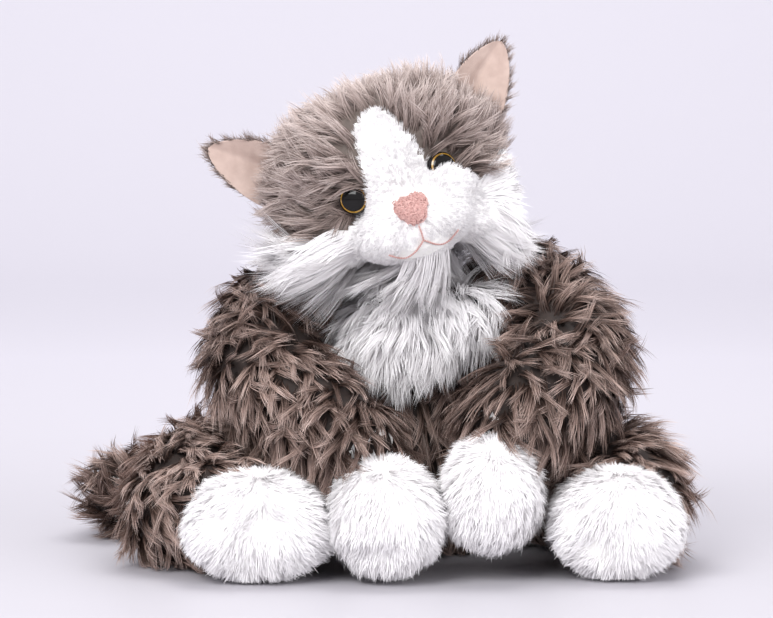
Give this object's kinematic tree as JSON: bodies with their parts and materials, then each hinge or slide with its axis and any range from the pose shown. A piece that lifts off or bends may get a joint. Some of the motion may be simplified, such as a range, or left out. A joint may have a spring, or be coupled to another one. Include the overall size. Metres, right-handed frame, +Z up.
{
  "type": "plush cat",
  "caption": "Seated plush cat with shaggy limbs and tail, white paws and face, stitched nose, and head, ears and limbs that turn at their seams.",
  "frame": {"origin": "on the surface that the cat sits on, under the middle of its outline", "axes": "+X towards the cat's left side, which is the viewer's right; the cat faces -Y; +Z up"},
  "size_m": [0.2981, 0.2336, 0.2597],
  "materials": {
    "brown_plush": "long shaggy pile, dark roots and tan tips",
    "taupe_plush": "medium pile, streaked grey and beige",
    "white_plush": "soft white pile",
    "white_short_plush": "short dense white pile",
    "ear_lining": "short beige velour",
    "stuffing": "loose polyester fibre",
    "pellets": "plastic granules",
    "pouch_cloth": "plain woven cloth",
    "dark_thread": "sewing thread",
    "pink_thread": "embroidery thread",
    "eye_black": "polished black",
    "eye_amber": "amber ring behind clear plastic",
    "eye_clear": "clear polished dome",
    "washer_plastic": "moulded washer",
    "label_cloth": "blank woven ribbon"
  },
  "bodies": {
    "torso": {"body_left_cover": "brown_plush", "body_right_cover": "brown_plush", "chest_panel": "white_plush", "seat_panel": "brown_plush", "body_stuffing": "stuffing", "pellet_pouch": "pouch_cloth", "pellet_fill": "pellets", "back_seam": "dark_thread", "neck_seam": "dark_thread", "care_label": "label_cloth"},
    "neck": {"neck_cover": "white_plush"},
    "neck_core": {"neck_stuffing": "stuffing"},
    "head": {"crown_left": "taupe_plush", "crown_right": "taupe_plush", "face_panel": "white_short_plush", "cheek_left": "white_plush", "cheek_right": "white_plush", "chin_panel": "white_plush", "head_stuffing": "stuffing", "nose": "pink_thread", "mouth_stitches": "pink_thread", "eye_left_cup": "eye_black", "eye_left_iris": "eye_amber", "eye_left_pupil": "eye_black", "eye_left_lens": "eye_clear", "eye_left_washer": "washer_plastic", "eye_right_cup": "eye_black", "eye_right_iris": "eye_amber", "eye_right_pupil": "eye_black", "eye_right_lens": "eye_clear", "eye_right_washer": "washer_plastic"},
    "ear_left": {"ear_left_back": "taupe_plush", "ear_left_lining": "ear_lining"},
    "ear_right": {"ear_right_back": "taupe_plush", "ear_right_lining": "ear_lining"},
    "arm_left": {"arm_left_cover": "brown_plush", "arm_left_stuffing": "stuffing", "front_paw_left_cover": "white_plush", "front_paw_left_fill": "stuffing"},
    "arm_right": {"arm_right_cover": "brown_plush", "arm_right_stuffing": "stuffing", "front_paw_right_cover": "white_plush", "front_paw_right_fill": "stuffing"},
    "leg_left": {"leg_left_cover": "brown_plush", "leg_left_stuffing": "stuffing", "hind_paw_left_cover": "white_plush", "hind_paw_left_sole": "white_plush", "hind_paw_left_fill": "stuffing"},
    "leg_right": {"leg_right_cover": "brown_plush", "leg_right_stuffing": "stuffing", "hind_paw_right_cover": "white_plush", "hind_paw_right_sole": "white_plush", "hind_paw_right_fill": "stuffing"},
    "tail": {"tail_cover": "brown_plush", "tail_stuffing": "stuffing"}
  },
  "joints": [
    {"name": "head_turn", "type": "hinge", "parent": "torso", "child": "neck", "pos_m": [0.015, 0.008, 0.148], "axis": [0, 0, 1], "range_deg": [-14, 20]},
    {"name": "head_nod", "type": "hinge", "parent": "neck", "child": "neck_core", "pos_m": [0.015, 0.008, 0.148], "axis": [-1, 0, 0], "range_deg": [-8, 8]},
    {"name": "head_tilt", "type": "hinge", "parent": "neck_core", "child": "head", "pos_m": [0.015, 0.008, 0.148], "axis": [0, -1, 0], "range_deg": [-22, 4]},
    {"name": "ear_left_fold", "type": "hinge", "parent": "head", "child": "ear_left", "pos_m": [-0.05307, -0.00844, 0.1882], "axis": [0.4442, 0.1144, 0.8886], "range_deg": [-15, 15]},
    {"name": "ear_right_fold", "type": "hinge", "parent": "head", "child": "ear_right", "pos_m": [0.04766, 0.00393, 0.22514], "axis": [0.92, 0.0531, -0.3883], "range_deg": [-15, 15]},
    {"name": "arm_left_swing", "type": "hinge", "parent": "torso", "child": "arm_left", "pos_m": [-0.037, 0.019, 0.1275], "axis": [-1, 0, 0], "range_deg": [0, 50]},
    {"name": "arm_right_swing", "type": "hinge", "parent": "torso", "child": "arm_right", "pos_m": [0.068, 0.018, 0.131], "axis": [-1, 0, 0], "range_deg": [0, 50]},
    {"name": "leg_left_swing", "type": "hinge", "parent": "torso", "child": "leg_left", "pos_m": [-0.047, 0.024, 0.037], "axis": [0, 0, -1], "range_deg": [0, 14]},
    {"name": "leg_right_swing", "type": "hinge", "parent": "torso", "child": "leg_right", "pos_m": [0.073, 0.024, 0.037], "axis": [0, 0, 1], "range_deg": [0, 20]},
    {"name": "tail_swing", "type": "hinge", "parent": "torso", "child": "tail", "pos_m": [-0.013, 0.078, 0.022], "axis": [0, 0, -1], "range_deg": [0, 25]}
  ]
}
